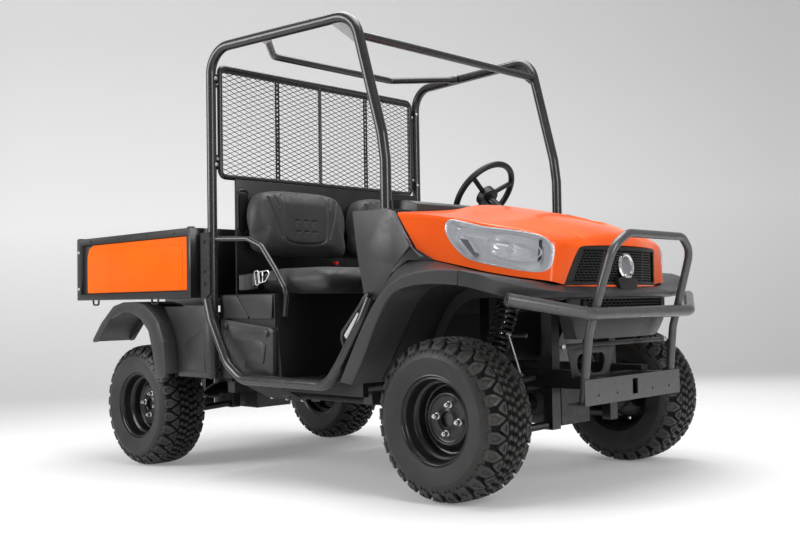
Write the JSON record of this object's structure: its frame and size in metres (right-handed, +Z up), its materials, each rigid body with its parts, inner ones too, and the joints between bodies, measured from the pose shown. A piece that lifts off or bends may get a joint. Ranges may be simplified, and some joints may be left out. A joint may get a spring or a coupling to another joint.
{
  "type": "side by side utility vehicle",
  "caption": "Two-seat utility vehicle with tube cage, mesh rear screen, opening hood, front guard, steered wheels and a tipping cargo bed with a drop tailgate.",
  "frame": {"origin": "on the ground, below the centre of the vehicle's box", "axes": "+X ahead, +Y to the driver's left, +Z up"},
  "size_m": [3.1248, 1.56, 2.0146],
  "materials": {
    "orange": "glossy moulded body panel",
    "orange_steel": "gloss paint",
    "dark_plastic": "grained moulding",
    "black_plastic": "grained moulding",
    "cage_steel": "satin powder coat",
    "black_steel": "satin black paint",
    "vinyl": "grained black vinyl",
    "tyre": "matte rubber",
    "wheel_steel": "gloss black paint",
    "lamp": "clear lens over reflector",
    "casting": "dark castings",
    "bright_steel": "zinc plated"
  },
  "bodies": {
    "chassis": {"frame_rails": "black_steel", "frame_members": "black_steel", "hitch_receiver": "black_steel", "suspension_towers": "black_steel", "lift_mount": "black_steel", "engine": "casting", "muffler": "casting", "drive_casings": "casting", "bed_pivots": "black_steel", "steering_gear": "black_steel", "floor_pan": "black_plastic", "seat_box": "black_plastic", "service_doors": "dark_plastic", "seat_cushions": "vinyl", "seat_backs": "vinyl", "cab_rear_wall": "black_steel", "dashboard": "dark_plastic", "cowl_side_panels": "dark_plastic", "front_fenders": "dark_plastic", "rear_fenders": "dark_plastic", "engine_side_panels": "dark_plastic", "rops_hoops": "cage_steel", "rops_crossbars": "cage_steel", "rear_screen": "black_steel", "hip_rails": "black_steel", "side_guards": "cage_steel", "front_bumper": "cage_steel", "nose_fascia": "dark_plastic", "drive_shafts": "black_steel", "coil_dampers": "black_steel", "suspension_arms": "black_steel"},
    "hood": {"hood_panel": "orange", "headlamps": "lamp", "grille": "black_plastic"},
    "steering_wheel": {"steering_wheel": "black_plastic"},
    "bed": {"bed_tub": "black_steel", "bed_sides": "orange_steel"},
    "tailgate": {"tailgate": "orange_steel"},
    "lift_barrel": {"lift_barrel": "black_steel"},
    "lift_rod": {"lift_rod": "bright_steel"},
    "knuckle_left": {"knuckle_left": "casting"},
    "knuckle_right": {"knuckle_right": "casting"},
    "tie_rod_left": {"tie_rod_left": "black_steel"},
    "tie_rod_right": {"tie_rod_right": "black_steel"},
    "wheel_front_left": {"tyre_front_left": "tyre", "rim_front_left": "wheel_steel"},
    "wheel_front_right": {"tyre_front_right": "tyre", "rim_front_right": "wheel_steel"},
    "wheel_rear_left": {"tyre_rear_left": "tyre", "rim_rear_left": "wheel_steel"},
    "wheel_rear_right": {"tyre_rear_right": "tyre", "rim_rear_right": "wheel_steel"}
  },
  "joints": [
    {"name": "bed_tip", "type": "hinge", "parent": "chassis", "child": "bed", "pos_m": [-1.32687, 0, 0.7677], "axis": [0, -1, 0], "range_deg": [0, 40]},
    {"name": "tailgate_drop", "type": "hinge", "parent": "bed", "child": "tailgate", "pos_m": [-1.54701, 0, 0.91809], "axis": [0, -1, 0], "range_deg": [0, 90]},
    {"name": "hood_open", "type": "hinge", "parent": "chassis", "child": "hood", "pos_m": [0.81081, 0, 1.14504], "axis": [0, -1, 0], "range_deg": [0, 50]},
    {"name": "steering_turn", "type": "hinge", "parent": "chassis", "child": "steering_wheel", "pos_m": [0.44113, 0.33, 1.28137], "axis": [-0.7672, 0, 0.6414], "range_deg": [-360, 360]},
    {"name": "steer_right", "type": "hinge", "parent": "chassis", "child": "knuckle_right", "pos_m": [1.0091, -0.525, 0.306], "axis": [0, 0, 1], "range_deg": [-30, 30]},
    {"name": "steer_left", "type": "hinge", "parent": "chassis", "child": "knuckle_left", "pos_m": [1.0091, 0.525, 0.306], "axis": [0, 0, 1], "range_deg": [-30, 30]},
    {"name": "tie_right", "type": "hinge", "parent": "knuckle_right", "child": "tie_rod_right", "pos_m": [0.9041, -0.525, 0.306], "axis": [0, 0, 1], "range_deg": [-30, 30]},
    {"name": "tie_left", "type": "hinge", "parent": "knuckle_left", "child": "tie_rod_left", "pos_m": [0.9041, 0.525, 0.306], "axis": [0, 0, 1], "range_deg": [-30, 30]},
    {"name": "lift_swing", "type": "hinge", "parent": "chassis", "child": "lift_barrel", "pos_m": [-0.88872, 0.13, 0.40298], "axis": [0, -1, 0], "range_deg": [0, 2.64]},
    {"name": "lift_slide", "type": "slide", "parent": "lift_barrel", "child": "lift_rod", "axis": [-0.2186, 0, 0.9758], "range_m": [0, 0.2436]},
    {"name": "roll_front_left", "type": "hinge", "parent": "knuckle_left", "child": "wheel_front_left", "pos_m": [1.0091, 0.6175, 0.306], "axis": [0, 1, 0], "continuous": true},
    {"name": "roll_front_right", "type": "hinge", "parent": "knuckle_right", "child": "wheel_front_right", "pos_m": [1.0091, -0.6175, 0.306], "axis": [0, 1, 0], "continuous": true},
    {"name": "roll_rear_left", "type": "hinge", "parent": "chassis", "child": "wheel_rear_left", "pos_m": [-1.0359, 0.615, 0.306], "axis": [0, 1, 0], "continuous": true},
    {"name": "roll_rear_right", "type": "hinge", "parent": "chassis", "child": "wheel_rear_right", "pos_m": [-1.0359, -0.615, 0.306], "axis": [0, 1, 0], "continuous": true}
  ],
  "couplings": [
    {"joint": "steer_left", "follows": "steer_right", "ratio": 1},
    {"joint": "steering_turn", "follows": "steer_right", "ratio": 12},
    {"joint": "tie_right", "follows": "steer_right", "ratio": -1},
    {"joint": "tie_left", "follows": "steer_right", "ratio": -1},
    {"joint": "lift_swing", "follows": "bed_tip", "ratio": 0.064647},
    {"joint": "lift_slide", "follows": "bed_tip", "m_per_rad": 0.34548}
  ]
}
